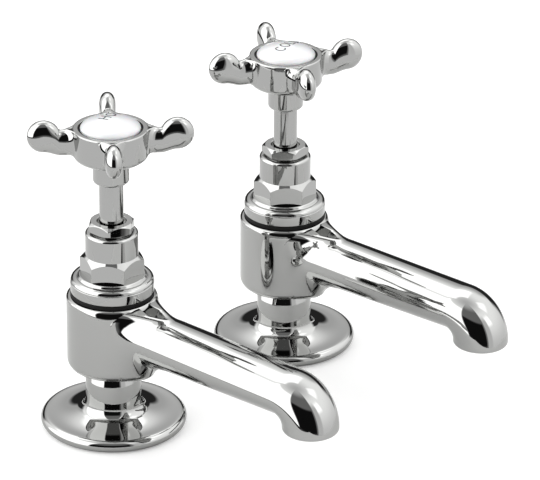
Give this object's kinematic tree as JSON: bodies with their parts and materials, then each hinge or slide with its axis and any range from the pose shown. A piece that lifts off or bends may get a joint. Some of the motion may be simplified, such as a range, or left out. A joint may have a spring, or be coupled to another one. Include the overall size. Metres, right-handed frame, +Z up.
{
  "type": "basin pillar taps",
  "caption": "Hot and cold basin pillar taps with crosshead handles and domed porcelain indices, straight spouts turned down at the nose, base flanges and threaded tails.",
  "frame": {"origin": "on the deck, midway between the axes of the two taps", "axes": "+Z up out of the deck along the taps' axes, -Y the way the spouts point, +X from the hot tap to the cold tap"},
  "size_m": [0.137, 0.1247, 0.1628],
  "materials": {
    "chrome": "polished plate",
    "porcelain": "glazed",
    "black_rubber": "matt",
    "grey_rubber": "matt",
    "brass": "turned",
    "white_nylon": "moulded",
    "packing": "greased fibre",
    "steel": "zinc plated"
  },
  "bodies": {
    "taps": {"hot_body": "chrome", "hot_base_flange": "chrome", "hot_deck_seal": "grey_rubber", "hot_back_washer": "white_nylon", "hot_back_nut": "brass", "hot_bonnet_seal": "black_rubber", "hot_bonnet": "chrome", "hot_gland_packing": "packing", "hot_gland_follower": "brass", "hot_gland_nut": "chrome", "cold_body": "chrome", "cold_base_flange": "chrome", "cold_deck_seal": "grey_rubber", "cold_back_washer": "white_nylon", "cold_back_nut": "brass", "cold_bonnet_seal": "black_rubber", "cold_bonnet": "chrome", "cold_gland_packing": "packing", "cold_gland_follower": "brass", "cold_gland_nut": "chrome"},
    "hot_valve": {"hot_jumper": "brass", "hot_tap_washer": "black_rubber", "hot_washer_nut": "brass"},
    "hot_handle": {"hot_spindle": "chrome", "hot_crosshead": "chrome", "hot_handle_screw": "steel", "hot_index_ring": "black_rubber", "hot_index": "porcelain"},
    "cold_valve": {"cold_jumper": "brass", "cold_tap_washer": "black_rubber", "cold_washer_nut": "brass"},
    "cold_handle": {"cold_spindle": "chrome", "cold_crosshead": "chrome", "cold_handle_screw": "steel", "cold_index_ring": "black_rubber", "cold_index": "porcelain"}
  },
  "joints": [
    {"name": "hot_lift", "type": "slide", "parent": "taps", "child": "hot_valve", "axis": [0, 0, 1], "range_m": [0, 0.005]},
    {"name": "hot_turn", "type": "hinge", "parent": "hot_valve", "child": "hot_handle", "pos_m": [-0.0435, 0, 0.1], "axis": [0, 0, 1], "range_deg": [0, 450]},
    {"name": "cold_lift", "type": "slide", "parent": "taps", "child": "cold_valve", "axis": [0, 0, 1], "range_m": [0, 0.005]},
    {"name": "cold_turn", "type": "hinge", "parent": "cold_valve", "child": "cold_handle", "pos_m": [0.0435, 0, 0.1], "axis": [0, 0, 1], "range_deg": [0, 450]}
  ],
  "couplings": [
    {"joint": "hot_turn", "follows": "hot_lift", "rad_per_m": 1570.8},
    {"joint": "cold_turn", "follows": "cold_lift", "rad_per_m": 1570.8}
  ]
}
